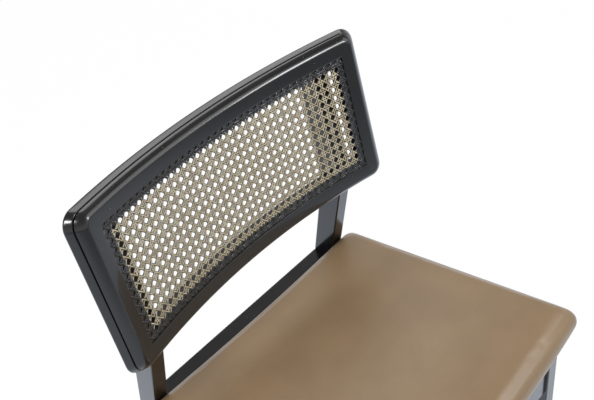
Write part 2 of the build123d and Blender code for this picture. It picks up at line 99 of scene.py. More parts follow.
class Graph:
    """A node tree with short calls to add nodes and join them."""

    def __init__(self, tree: NodeTree) -> None:
        """Keeps the tree that the nodes go into."""
        self.tree = tree

    def add(self, kind: str, **inputs: object) -> Node:
        """Adds a node and sets its inputs and properties.

        Args:
            kind: The node's type, without the word ShaderNode.
            inputs: Values, or sockets to join, by input or property name in lower case.

        Returns:
            The new node.
        """
        node = self.tree.nodes.new("ShaderNode" + kind)
        names = {socket.name.lower().replace(" ", "_"): socket for socket in reversed(node.inputs)}
        for name, value in inputs.items():
            if name in names:
                self.feed(value, names[name])
            elif name.startswith("input_"):
                self.feed(value, node.inputs[int(name[6:])])
            else:
                setattr(node, name, value)
        return node

    def feed(self, value: object, socket: NodeSocket) -> None:
        """Joins a socket to an input, or sets the input to a plain value.

        Args:
            value: A socket, a number, a vector or a colour.
            socket: The input that gets it.
        """
        if isinstance(value, NodeSocket):
            self.tree.links.new(value, socket)
        elif isinstance(value, tuple) and len(value) == 3 and socket.type == "RGBA":
            socket.default_value = (*value, 1.0)
        else:
            socket.default_value = value

    def math(self, operation: str, *values: object) -> NodeSocket:
        """Adds a Math node.

        Args:
            operation: What the node works out.
            values: One to three values or sockets.

        Returns:
            The node's result.
        """
        node = self.tree.nodes.new("ShaderNodeMath")
        node.operation = operation
        for value, socket in zip(values, node.inputs):
            self.feed(value, socket)
        return node.outputs[0]

    def blend(self, share: object, first: object, second: object) -> NodeSocket:
        """Mixes two colours.

        Args:
            share: The second colour's share.
            first: Colour at a share of 0.
            second: Colour at a share of 1.

        Returns:
            The mixed colour.
        """
        node = self.tree.nodes.new("ShaderNodeMix")
        node.data_type = "RGBA"
        self.feed(share, node.inputs[0])
        self.feed(first, node.inputs[6])
        self.feed(second, node.inputs[7])
        return node.outputs[2]

    def ramp(self, value: object, low: float, high: float, to_low: float = 0.0,
             to_high: float = 1.0) -> NodeSocket:
        """Maps a value smoothly from one range to another.

        Args:
            value: The value or socket to map.
            low: Where the range starts.
            high: Where it ends.
            to_low: Result up to the start.
            to_high: Result from the end on.

        Returns:
            The mapped value.
        """
        node = self.add("MapRange", interpolation_type="SMOOTHSTEP")
        for socket, given in zip(node.inputs, (value, low, high, to_low, to_high)):
            self.feed(given, socket)
        return node.outputs[0]

    def place(self, source: Coordinates = Coordinates.OBJECT) -> NodeSocket:
        """Coordinates that a pattern follows."""
        return self.add("TexCoord").outputs[source.value]


class Group:
    """A shader node group with named inputs and outputs."""

    def __init__(self, name: str, inputs: dict[str, float], outputs: dict[str, str]) -> None:
        """Makes the group and its sockets.

        Args:
            name: The group's name.
            inputs: Default values of its number inputs, besides its vector.
            outputs: Kinds of its outputs.
        """
        self.tree = bpy.data.node_groups.new(name, "ShaderNodeTree")
        face = self.tree.interface
        face.new_socket("Vector", in_out="INPUT", socket_type="NodeSocketVector")
        for label, value in inputs.items():
            socket = face.new_socket(label, in_out="INPUT", socket_type="NodeSocketFloat")
            socket.default_value = value
        for label, kind in outputs.items():
            face.new_socket(label, in_out="OUTPUT", socket_type="NodeSocket" + kind)
        self.graph = Graph(self.tree)
        self.source = self.tree.nodes.new("NodeGroupInput")
        self.result = self.tree.nodes.new("NodeGroupOutput")

    def inlet(self, label: str) -> NodeSocket:
        """Socket inside the group that carries one of its inputs."""
        return self.source.outputs[label]

    def put_out(self, label: str, value: object) -> None:
        """Joins a value to one of the group's outputs."""
        self.graph.feed(value, self.result.inputs[label])


def mottle_group() -> Group:
    """Soft uneven value between 0 and 1, for colour and sheen that vary over a surface.

    Returns:
        The group, with the output Value.
    """
    group = Group("mottle", {"Scale": 20.0, "Detail": 3.0}, {"Value": "Float"})
    cloud = group.graph.add(
        "TexNoise", vector=group.inlet("Vector"), scale=group.inlet("Scale"),
        detail=group.inlet("Detail"),
    )
    group.put_out("Value", group.graph.ramp(cloud.outputs[0], low=0.3, high=0.7))
    return group


def hide_group() -> Group:
    """Leather's small cells, creases between them and pores.

    Returns:
        The group, with the outputs Height and Crease.
    """
    group = Group("hide_grain", {"Scale": 700.0}, {"Height": "Float", "Crease": "Float"})
    graph = group.graph
    shift = 4 * MM
    warp = graph.add("TexNoise", vector=group.inlet("Vector"), scale=90.0, detail=2.0)
    shifted = graph.add("VectorMath", operation="MULTIPLY_ADD", input_0=warp.outputs[1],
                        input_1=(shift, shift, shift), input_2=group.inlet("Vector"))
    cells = graph.add("TexVoronoi", feature="DISTANCE_TO_EDGE", vector=shifted.outputs[0],
                      scale=group.inlet("Scale"))
    crease = graph.ramp(cells.outputs[0], low=0.0, high=0.16, to_low=1.0, to_high=0.0)
    swell = graph.add("TexNoise", vector=group.inlet("Vector"), scale=260.0, detail=4.0)
    group.put_out("Height", graph.math("SUBTRACT", swell.outputs[0], crease))
    group.put_out("Crease", crease)
    return group


def grain_group() -> Group:
    """Long wood grain along one axis.

    Returns:
        The group, with the output Mask, which is 1 on darker lines.
    """
    group = Group("wood_grain", {"Scale": 60.0}, {"Mask": "Float"})
    graph = group.graph
    length_share = 0.06
    stretched = graph.add("VectorMath", operation="MULTIPLY", input_0=group.inlet("Vector"),
                          input_1=(1.0, 1.0, length_share))
    lines = graph.add("TexNoise", vector=stretched.outputs[0], scale=group.inlet("Scale"),
                      detail=5.0, distortion=0.6)
    group.put_out("Mask", graph.ramp(lines.outputs[0], low=0.42, high=0.62))
    return group


def dust_group() -> Group:
    """Sparse pale specks of dust.

    Returns:
        The group, with the output Mask, which is 1 on specks.
    """
    group = Group("dust", {"Scale": 220.0, "Amount": 0.05}, {"Mask": "Float"})
    graph = group.graph
    specks = graph.add("TexVoronoi", vector=group.inlet("Vector"), scale=group.inlet("Scale"))
    chance = graph.add("TexWhiteNoise", input_0=specks.outputs[2])
    rare = graph.math("LESS_THAN", chance.outputs[0], group.inlet("Amount"))
    spot = graph.ramp(specks.outputs[0], low=0.06, high=0.16, to_low=1.0, to_high=0.0)
    group.put_out("Mask", graph.math("MULTIPLY", rare, spot))
    return group


class Effects:
    """The shared node groups, each built once."""

    def __init__(self) -> None:
        """Builds the groups."""
        self.mottle = mottle_group()
        self.hide = hide_group()
        self.grain = grain_group()
        self.dust = dust_group()


class Finish:
    """A material under way: a Principled shader with the effects it needs."""

    def __init__(self, name: str) -> None:
        """Makes the material.

        Args:
            name: The material's name.
        """
        self.material = bpy.data.materials.new(name)
        self.material.use_nodes = True
        self.graph = Graph(self.material.node_tree)
        nodes = self.material.node_tree.nodes
        self.skin = next(node for node in nodes if node.type == "BSDF_PRINCIPLED")

    def effect(self, group: Group, output: str, **values: object) -> NodeSocket:
        """Places a shared group with this finish's own values.

        Args:
            group: The shared group.
            output: Which of its outputs is wanted.
            values: Its inputs by name.

        Returns:
            The output's socket.
        """
        node = self.graph.add("Group", node_tree=group.tree)
        for label, value in values.items():
            self.graph.feed(value, node.inputs[label])
        return node.outputs[output]

    def set(self, **values: object) -> None:
        """Sets or feeds the shader's sockets, by name with underscores."""
        for label, value in values.items():
            self.graph.feed(value, self.skin.inputs[label.replace("_", " ")])

    def spread(self, mask: object, reach: object, base: object) -> NodeSocket:
        """Value that starts at a base and moves by a reach where a mask is 1."""
        return self.graph.math("MULTIPLY_ADD", mask, reach, base)

    def bump(self, height: object, strength: float, distance: float) -> NodeSocket:
        """Normal from a height."""
        node = self.graph.add("Bump", strength=strength, distance=distance, height=height)
        return node.outputs[0]


# Finishes


@dataclass(frozen=True)
class Lacquer:
    """Gloss black lacquer over wood, with a faint orange peel and a little dust."""

    colour: RGB = srgb(13, 12, 12)
    dust_colour: RGB = srgb(150, 148, 145)
    dust_scale: float = 260.0
    dust_amount: float = 0.02
    dust_roughness: float = 0.5
    cloud_scale: float = 14.0
    roughness: float = 0.16
    roughness_spread: float = 0.08
    peel_scale: float = 420.0
    peel_strength: float = 0.035
    peel_height: float = 0.4 * MM
    ior: float = 1.5
    coat: float = 0.6
    coat_roughness: float = 0.03

    def build(self, effects: Effects) -> Material:
        """Makes the lacquer.

        Args:
            effects: The shared groups.

        Returns:
            Its material.
        """
        finish = Finish("black_lacquer")
        place = finish.graph.place()
        dust = finish.effect(effects.dust, "Mask", Vector=place, Scale=self.dust_scale,
                             Amount=self.dust_amount)
        cloud = finish.effect(effects.mottle, "Value", Vector=place, Scale=self.cloud_scale)
        clean = finish.spread(cloud, self.roughness_spread, self.roughness)
        peel = finish.graph.add("TexNoise", vector=place, scale=self.peel_scale, detail=1.0)
        finish.set(
            Base_Color=finish.graph.blend(dust, self.colour, self.dust_colour),
            Roughness=finish.spread(dust, self.dust_roughness, clean),
            Normal=finish.bump(peel.outputs[0], self.peel_strength, self.peel_height),
            IOR=self.ior,
            Coat_Weight=self.coat,
            Coat_Roughness=self.coat_roughness,
        )
        return finish.material


@dataclass(frozen=True)
class Hide:
    """Smooth tan leather with fine cells, painted shade in the creases between them, and a soft sheen."""

    colour: RGB = srgb(133, 108, 76)
    deep: RGB = srgb(123, 99, 68)
    # crease_shade is painted shade: the darker colour laid into the grain's creases.
    crease_shade: RGB = srgb(102, 81, 54)
    crease_shade_share: float = 0.35
    cloud_scale: float = 9.0
    roughness: float = 0.42
    roughness_spread: float = -0.06
    grain_strength: float = 0.12
    grain_height: float = 0.3 * MM
    coat: float = 0.45
    coat_roughness: float = 0.36
    sheen: float = 0.08
    sheen_roughness: float = 0.5

    def build(self, effects: Effects) -> Material:
        """Makes the leather.

        Args:
            effects: The shared groups.

        Returns:
            Its material.
        """
        finish = Finish("tan_leather")
        place = finish.graph.place()
        cloud = finish.effect(effects.mottle, "Value", Vector=place, Scale=self.cloud_scale)
        crease = finish.effect(effects.hide, "Crease", Vector=place)
        height = finish.effect(effects.hide, "Height", Vector=place)
        tone = finish.graph.blend(cloud, self.deep, self.colour)
        # Painted shade: the grain's creases are darkened towards crease_shade, for the shade that falls in
        # them.
        faint_crease_shade = finish.graph.math("MULTIPLY", crease, self.crease_shade_share)
        finish.set(
            Base_Color=finish.graph.blend(faint_crease_shade, tone, self.crease_shade),
            Roughness=finish.spread(cloud, self.roughness_spread, self.roughness),
            Normal=finish.bump(height, self.grain_strength, self.grain_height),
            Coat_Weight=self.coat,
            Coat_Roughness=self.coat_roughness,
            Sheen_Weight=self.sheen,
            Sheen_Roughness=self.sheen_roughness,
        )
        return finish.material


@dataclass(frozen=True)
class Rattan:
    """Natural cane strands with painted shade along their edges, lacquered black where a strand's painted
    attribute says so.
    """

    pale: RGB = srgb(246, 237, 210)
    warm: RGB = srgb(222, 206, 168)
    # edge is a painted shade: this dark colour along each strand's edges stands in for the shadow between
    # strands.
    edge: RGB = srgb(30, 26, 25)
    edge_shade_start: float = 0.12
    edge_shade_end: float = 0.42
    paint: RGB = srgb(13, 12, 12)
    cloud_scale: float = 160.0
    cloud_detail: float = 4.0
    cloud_share: float = 0.5
    tint_share: float = 0.5
    roughness: float = 0.42
    paint_roughness: float = 0.08
    paint_coat: float = 0.8
    coat_roughness: float = 0.05

    def build(self, effects: Effects) -> Material:
        """Makes the cane.

        Args:
            effects: The shared groups.

        Returns:
            Its material.
        """
        finish = Finish("cane")
        graph = finish.graph
        cloud = finish.effect(effects.mottle, "Value", Vector=graph.place(), Scale=self.cloud_scale,
                              Detail=self.cloud_detail)
        tint = graph.add("Attribute", attribute_name="strand_tint").outputs[2]
        painted = graph.add("Attribute", attribute_name="painted").outputs[2]
        edge_shade_mask = graph.add("Attribute", attribute_name="strand_edge").outputs[2]
        uneven = finish.spread(cloud, self.cloud_share, graph.math("MULTIPLY", tint, self.tint_share))
        bark = graph.blend(uneven, self.warm, self.pale)
        # Painted shade: each strand darkens towards edge along its edges, for the shadow that falls between
        # strands.
        shaded_bark = graph.blend(graph.ramp(edge_shade_mask, self.edge_shade_start, self.edge_shade_end), bark, self.edge)
        finish.set(
            Base_Color=graph.blend(painted, shaded_bark, self.paint),
            Roughness=finish.spread(painted, self.paint_roughness - self.roughness, self.roughness),
            Coat_Weight=graph.math("MULTIPLY", painted, self.paint_coat),
            Coat_Roughness=self.coat_roughness,
        )
        return finish.material


@dataclass(frozen=True)
class PlainWood:
    """Raw wood with its grain."""

    name: str
    pale: RGB
    dark: RGB
    scale: float
    roughness: float = 0.6
    roughness_spread: float = 0.15
    grain_strength: float = 0.1
    grain_height: float = 0.3 * MM

    def build(self, effects: Effects) -> Material:
        """Makes the wood.

        Args:
            effects: The shared groups.

        Returns:
            Its material.
        """
        finish = Finish(self.name)
        lines = finish.effect(effects.grain, "Mask", Vector=finish.graph.place(), Scale=self.scale)
        finish.set(
            Base_Color=finish.graph.blend(lines, self.pale, self.dark),
            Roughness=finish.spread(lines, self.roughness_spread, self.roughness),
            Normal=finish.bump(lines, self.grain_strength, self.grain_height),
        )
        return finish.material


@dataclass(frozen=True)
class PlatedSteel:
    """Zinc-plated steel of the fasteners."""

    colour: RGB = srgb(176, 176, 170)
    dull: RGB = srgb(150, 150, 146)
    cloud_scale: float = 400.0
    roughness: float = 0.3
    roughness_spread: float = 0.15

    def build(self, effects: Effects) -> Material:
        """Makes the steel.

        Args:
            effects: The shared groups.

        Returns:
            Its material.
        """
        finish = Finish("zinc_steel")
        cloud = finish.effect(effects.mottle, "Value", Vector=finish.graph.place(), Scale=self.cloud_scale)
        finish.set(
            Base_Color=finish.graph.blend(cloud, self.colour, self.dull),
            Roughness=finish.spread(cloud, self.roughness_spread, self.roughness),
            Metallic=1.0,
        )
        return finish.material


@dataclass(frozen=True)
class MatteStuff:
    """Nylon, foam or cloth: a matte stuff with a fine uneven surface."""

    name: str
    colour: RGB
    other: RGB
    scale: float
    roughness: float
    depth: float
    detail: float = 5.0
    roughness_spread: float = 0.1
    strength: float = 0.4

    def build(self, effects: Effects) -> Material:
        """Makes the stuff.

        Args:
            effects: The shared groups.

        Returns:
            Its material.
        """
        finish = Finish(self.name)
        place = finish.graph.place()
        cloud = finish.effect(effects.mottle, "Value", Vector=place, Scale=self.scale, Detail=self.detail)
        finish.set(
            Base_Color=finish.graph.blend(cloud, self.colour, self.other),
            Roughness=finish.spread(cloud, self.roughness_spread, self.roughness),
            Normal=finish.bump(cloud, self.strength, self.depth),
        )
        return finish.material


# Mesh tools


def finish_piece(
    name: str, mesh: BMesh, material: Material, sharp: float = 35.0
) -> Object:
    """Makes a piece of the object from a mesh.

    Args:
        name: The piece's name.
        mesh: Its mesh in the chair's frame, freed here.
        material: Its material.
        sharp: Edges that turn by more than this many degrees stay sharp.

    Returns:
        The object, riding on the chair's body.
    """
    data = bpy.data.meshes.new(name)
    mesh.to_mesh(data)
    mesh.free()
    data.shade_smooth()
    data.set_sharp_from_angle(angle=radians(sharp))
    data.materials.append(material)
    piece = bpy.data.objects.new(name, data)
    bpy.context.scene.collection.objects.link(piece)
    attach(piece, "root")
    log.info("%s: %d faces", name, len(data.polygons))
    return piece


# The back


@dataclass(frozen=True)
class BackShape:
    """The bent and tilted sheet that all pieces of the back follow."""

    seat_reach: float = 405 * MM
    middle_height: float = 715 * MM
    radius: float = 888 * MM
    tilt: float = radians(9.8)
    length: float = 512 * MM
    height: float = 237 * MM
    corner: float = 16 * MM
    corner_growth: float = 0.3
    layer: float = 12 * MM
    rail_flare: float = radians(20.6)
    end_flare: float = radians(28.8)
    front_round: float = 7 * MM
    front_round_depth: float = 10.6 * MM
    rear_round: float = 4 * MM
    groove_edge: float = 0.6 * MM
    groove: float = 0.7 * MM
    groove_depth: float = 4 * MM
    cane_length: float = 464 * MM
    cane_height: float = 187 * MM
    ledge: float = 11 * MM
    ledge_depth: float = 2.6 * MM

    def put(self, mesh: BMesh) -> None:
        """Bends a flat mesh into place.

        Args:
            mesh: Its X runs along the back, its Y up it, and its Z out of the front.
        """
        middle = Vector((0.0, CAD_LOW.y + self.seat_reach, self.middle_height))
        for vertex in mesh.verts:
            along, up, out = vertex.co
            turn = along / self.radius
            far = self.radius - out
            behind = far * cos(turn) - self.radius
            vertex.co = middle + Vector((
                far * sin(turn),
                behind * cos(self.tilt) + up * sin(self.tilt),
                up * cos(self.tilt) - behind * sin(self.tilt),
            ))


@dataclass(frozen=True)
class BackLayer:
    """One of the two bent layers, as sections joined round its rounded outline."""

    shape: BackShape
    name: str
    corner_steps: int = 8
    round_steps: int = 8
    long_cuts: int = 63
    short_cuts: int = 15
    least_corner: float = 0.6 * MM
    loop_spacing: float = 20 * MM

    def outline(self, mesh: BMesh, long_half: float, short_half: float, corner: float,
                out: float) -> list[BMEdge]:
        """Closed flat loop with rounded corners.

        Args:
            mesh: The mesh that gets the loop.
            long_half: Half the loop's length.
            short_half: Half its height.
            corner: Its corners' radius.
            out: How far out it lies.

        Returns:
            The loop's edges.
        """
        known = set(mesh.edges)
        signs = ((-1, -1), (1, -1), (1, 1), (-1, 1))
        corners = [mesh.verts.new((a * long_half, b * short_half, out)) for a, b in signs]
        for index in range(len(corners)):
            mesh.edges.new((corners[index - 1], corners[index]))
        bmesh.ops.bevel(
            mesh, geom=corners, offset=max(corner, self.least_corner), offset_type="OFFSET",
            segments=self.corner_steps, profile=0.5, affect="VERTICES", material=-1,
        )
        straight = [edge for edge in mesh.edges if edge not in known and edge.calc_length() > short_half]
        long_ones = [edge for edge in straight if edge.calc_length() > long_half]
        short_ones = [edge for edge in straight if edge.calc_length() <= long_half]
        bmesh.ops.subdivide_edges(mesh, edges=long_ones, cuts=self.long_cuts)
        bmesh.ops.subdivide_edges(mesh, edges=short_ones, cuts=self.short_cuts)
        return [edge for edge in mesh.edges if edge not in known]

    def rounding(self, width: float, depth: float, face: float) -> list[SectionRow]:
        """Quarter round or ellipse from a face to the side.

        Args:
            width: How far it reaches into the face.
            depth: How far it reaches down the side, negative towards the front.
            face: Depth of the face that it starts from.

        Returns:
            Its steps as rows of inset, depth and whether it is in the opening.
        """
        steps = [pi / 2 * step / self.round_steps for step in range(self.round_steps + 1)]
        return [(width * (1 - sin(turn)), face + depth * (1 - cos(turn)), False) for turn in steps]

    def sections(self) -> list[SectionRow]:
        """The layer's section as rows of inset, depth and whether it is in the opening."""
        raise NotImplementedError

    def build(self, material: Material, nodes: Sequence[str]) -> Object:
        """Makes the layer in place of its CAD nodes.

        Args:
            material: The lacquer.
            nodes: The CAD nodes that it replaces.

        Returns:
            The layer's piece.
        """
        shape = self.shape
        mesh = bmesh.new()
        loops = []
        for index, (inset, depth, in_opening) in enumerate(self.sections()):
            if in_opening:
                long_half, short_half = shape.cane_length / 2 - inset, shape.cane_height / 2 - inset
                corner = 0.0
            else:
                long_half = shape.length / 2 + depth * tan(shape.end_flare) - inset
                short_half = shape.height / 2 + depth * tan(shape.rail_flare) - inset
                corner = shape.corner + depth * shape.corner_growth - inset
            loops.append(self.outline(mesh, long_half, short_half, corner, index * self.loop_spacing))
        for index, loop in enumerate(loops):
            bmesh.ops.bridge_loops(mesh, edges=loops[index - 1] + loop)
        for loop, (_, depth, _) in zip(loops, self.sections()):
            for vertex in {vertex for edge in loop for vertex in edge.verts}:
                vertex.co.z = -depth
        shape.put(mesh)
        bmesh.ops.recalc_face_normals(mesh, faces=mesh.faces)
        piece = finish_piece(self.name, mesh, material)
        weighted = piece.modifiers.new("even_normals", "WEIGHTED_NORMAL")
        weighted.keep_sharp = True
        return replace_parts(piece, *nodes)


@dataclass(frozen=True)
class FrontLayer(BackLayer):
    """The front layer, with the ledge that the cane lies on."""

    lip_width: float = 1.2 * MM
    lip_depth: float = 0.6 * MM

    def sections(self) -> list[SectionRow]:
        """Section from the opening's rear round to the layer's rear.

        Returns:
            Rows of inset, depth and whether the row is in the opening.
        """
        shape = self.shape
        rear = shape.layer
        return [
            (shape.ledge, rear, True),
            (shape.ledge, shape.ledge_depth, True),
            (0.0, shape.ledge_depth, True),
            (0.0, self.lip_depth, True),
            (-self.lip_width, 0.0, True),
            *self.rounding(shape.front_round, shape.front_round_depth, 0.0),
            (shape.groove_edge, rear - shape.groove, False),
            (shape.groove_depth, rear - shape.groove, False),
            (shape.groove_depth, rear, False),
        ]


@dataclass(frozen=True)
class RearLayer(BackLayer):
    """The rear layer, rounded along its rear edge."""

    edge: float = 0.3 * MM

    def sections(self) -> list[SectionRow]:
        """Section from the opening's front round to the opening's rear.

        Returns:
            Rows of inset, depth and whether the row is in the opening.
        """
        shape = self.shape
        near, rear = shape.layer, 2 * shape.layer
        return [
            (shape.ledge, near, True),
            (shape.groove_depth, near, False),
            (shape.groove_depth, near + shape.groove, False),
            (shape.groove_edge, near + shape.groove, False),
            (0.0, near + shape.groove + shape.groove_edge, False),
            *reversed(self.rounding(shape.rear_round, -shape.rear_round, rear)),
            (shape.ledge - self.edge, rear, True),
            (shape.ledge, rear - self.edge, True),
        ]


@dataclass(frozen=True)
class Strand:
    """One family of parallel strands in the cane, in the weave's own steps."""

    name: str
    across: tuple[float, float]
    offsets: tuple[float, ...]
    width: float
    height: Callable[[float, float], float]


@dataclass(frozen=True)
class CaneWeb:
    """The six-way cane, woven strand by strand."""

    ATTRIBUTES: ClassVar[tuple[str, ...]] = ("painted", "strand_tint", "strand_edge")

    shape: BackShape
    pitch: float = 12.7 * MM
    upright_stretch: float = 1.057
    turn: float = 0.007
    hole_shift: tuple[float, float] = (0.17, -0.13)
    pair_share: float = 0.12
    straight_width: float = 2.3 * MM
    slant_width: float = 3.0 * MM
    thick: float = 0.5 * MM
    crown_share: float = 0.75
    middle_depth: float = 1.9 * MM
    steps_per_pitch: int = 6
    strips_across: int = 4
    wave: float = 0.3 * MM
    slant_wave: float = 0.62 * MM
    tint_steps: Triple = (7.3, 9.1, 3.7)
    edge_gap: float = 0.5 * MM
    shortest: float = 0.5
    longest: float = 100.0
    paint_width: float = 13.5 * MM
    paint_blur: float = 0.6 * MM
    ragged_width: float = 1.6 * MM
    ragged_length: float = 5 * MM
    reach: int = 60

    def families(self) -> list[Strand]:
        """Sets up the four directions of strands.

        Returns:
            The families, each with the height that its strands weave by.
        """
        pair = (0.5 - self.pair_share, 0.5 + self.pair_share)
        straight, slanting = self.straight_width, self.slant_width
        wave, slant = self.wave, self.slant_wave
        return [
            Strand("upright", (1.0, 0.0), pair, straight, lambda x, y: wave * cos(pi * (y + 0.5))),
            Strand("level", (0.0, 1.0), pair, straight, lambda x, y: -wave * cos(pi * (x + 0.5))),
            Strand("rising", (1.0, -1.0), (0.5,), slanting, lambda x, y: -slant * cos(2 * pi * x)),
            Strand("falling", (1.0, 1.0), (0.5,), slanting, lambda x, y: slant * cos(2 * pi * x)),
        ]

    def spread(self, x: float, y: float) -> Vector:
        """Lays a point of the weave on the flat cane.

        Args:
            x: Steps along the back from the middle hole.
            y: Steps up it.

        Returns:
            Its place.
        """
        across = self.pitch * (x + self.hole_shift[0])
        up = self.pitch * self.upright_stretch * (y + self.hole_shift[1])
        return Vector((across + up * self.turn, up - across * self.turn))

    def clip(self, start: Vector, way: Vector) -> Optional[tuple[float, float]]:
        """Finds the stretch of a line that lies on the cane's rectangle.

        Args:
            start: A point of the line.
            way: Its direction.

        Returns:
            The stretch's two ends along the way, or None where too little of the line is inside.
        """
        shape = self.shape
        halves = (shape.cane_length / 2 - self.edge_gap, shape.cane_height / 2 - self.edge_gap)
        low, high = -self.longest, self.longest
        for axis, half in enumerate(halves):
            if abs(way[axis]) < TINY:
                if abs(start[axis]) > half:
                    return None
                continue
            ends = sorted((side * half - start[axis]) / way[axis] for side in (-1, 1))
            low, high = max(low, ends[0]), min(high, ends[1])
        return (low, high) if high - low > self.shortest else None

    def painted(self, along: float, up: float) -> float:
        """Tells how far the border's lacquer covers a place of the cane.

        Args:
            along: The place along the back from its middle.
            up: The place up it.

        Returns:
            1 where the cane is lacquered, 0 where it is bare.
        """
        inside = min(self.shape.cane_length / 2 - abs(along), self.shape.cane_height / 2 - abs(up))
        ragged = self.ragged_width * noise.noise(Vector((along, up, 0.0)) / self.ragged_length)
        return unit((self.paint_width + ragged - inside) / self.paint_blur)

    def strand(self, mesh: BMesh, family: Strand, begin: Vector, run: Vector) -> None:
        """Adds one strand, from a grid that is extruded to its thickness and laid on its wavy line.

        Args:
            mesh: The mesh that gets it, with its three attributes.
            family: The strand's family.
            begin: A point of its middle line, in the weave's steps.
            run: Its direction, in the weave's steps.
        """
        start = self.spread(*begin)
        way = self.spread(*run) - self.spread(0.0, 0.0)
        part = self.clip(start, way)
        if part is None:
            return
        low, high = part
        count = max(2, round((high - low) * run.length * self.steps_per_pitch))
        side = Vector((way.y, -way.x)).normalized()
        cell = (begin.x, begin.y, run.x)
        shade = noise.cell(Vector([place * step for place, step in zip(cell, self.tint_steps)]))
        painted, tint, edge_shade_mask = (mesh.verts.layers.float[name] for name in self.ATTRIBUTES)
        grid = bmesh.ops.create_grid(mesh, x_segments=count, y_segments=self.strips_across, size=1.0)
        under = grid["verts"]
        faces = list({face for vertex in under for face in vertex.link_faces})
        raised = bmesh.ops.extrude_face_region(mesh, geom=faces)["geom"]
        over = [part for part in raised if isinstance(part, BMVert)]
        for vertices, rise in ((under, 0.0), (over, self.thick)):
            for vertex in vertices:
                along = low + (high - low) * (vertex.co.x + 1.0) / 2.0
                off = vertex.co.y
                spot = start + way * along + side * (off * family.width / 2)
                steps = begin + run * along
                out = family.height(steps.x, steps.y) - self.middle_depth
                vertex[painted] = self.painted(spot.x, spot.y)
                vertex[tint] = shade
                # How far across the strand a vertex lies: the mask of the cane's painted edge shade.
                vertex[edge_shade_mask] = abs(off)
                vertex.co = (spot.x, spot.y, out + rise * (1.0 - self.crown_share * off * off))

    def build(self, family: Strand, material: Material) -> Object:
        """Makes all strands of one direction.

        Args:
            family: The direction's family.
            material: The cane's material.

        Returns:
            The strands as one piece.
        """
        mesh = bmesh.new()
        for name in self.ATTRIBUTES:
            mesh.verts.layers.float.new(name)
        across = Vector(family.across)
        run = Vector((-across.y, across.x))
        for lane in range(-self.reach, self.reach):
            for share in family.offsets:
                self.strand(mesh, family, across * ((lane + share) / across.dot(across)), run)
        self.shape.put(mesh)
        bmesh.ops.recalc_face_normals(mesh, faces=mesh.faces)
        return finish_piece(f"cane_{family.name}_strands", mesh, material, sharp=80.0)


# The seat


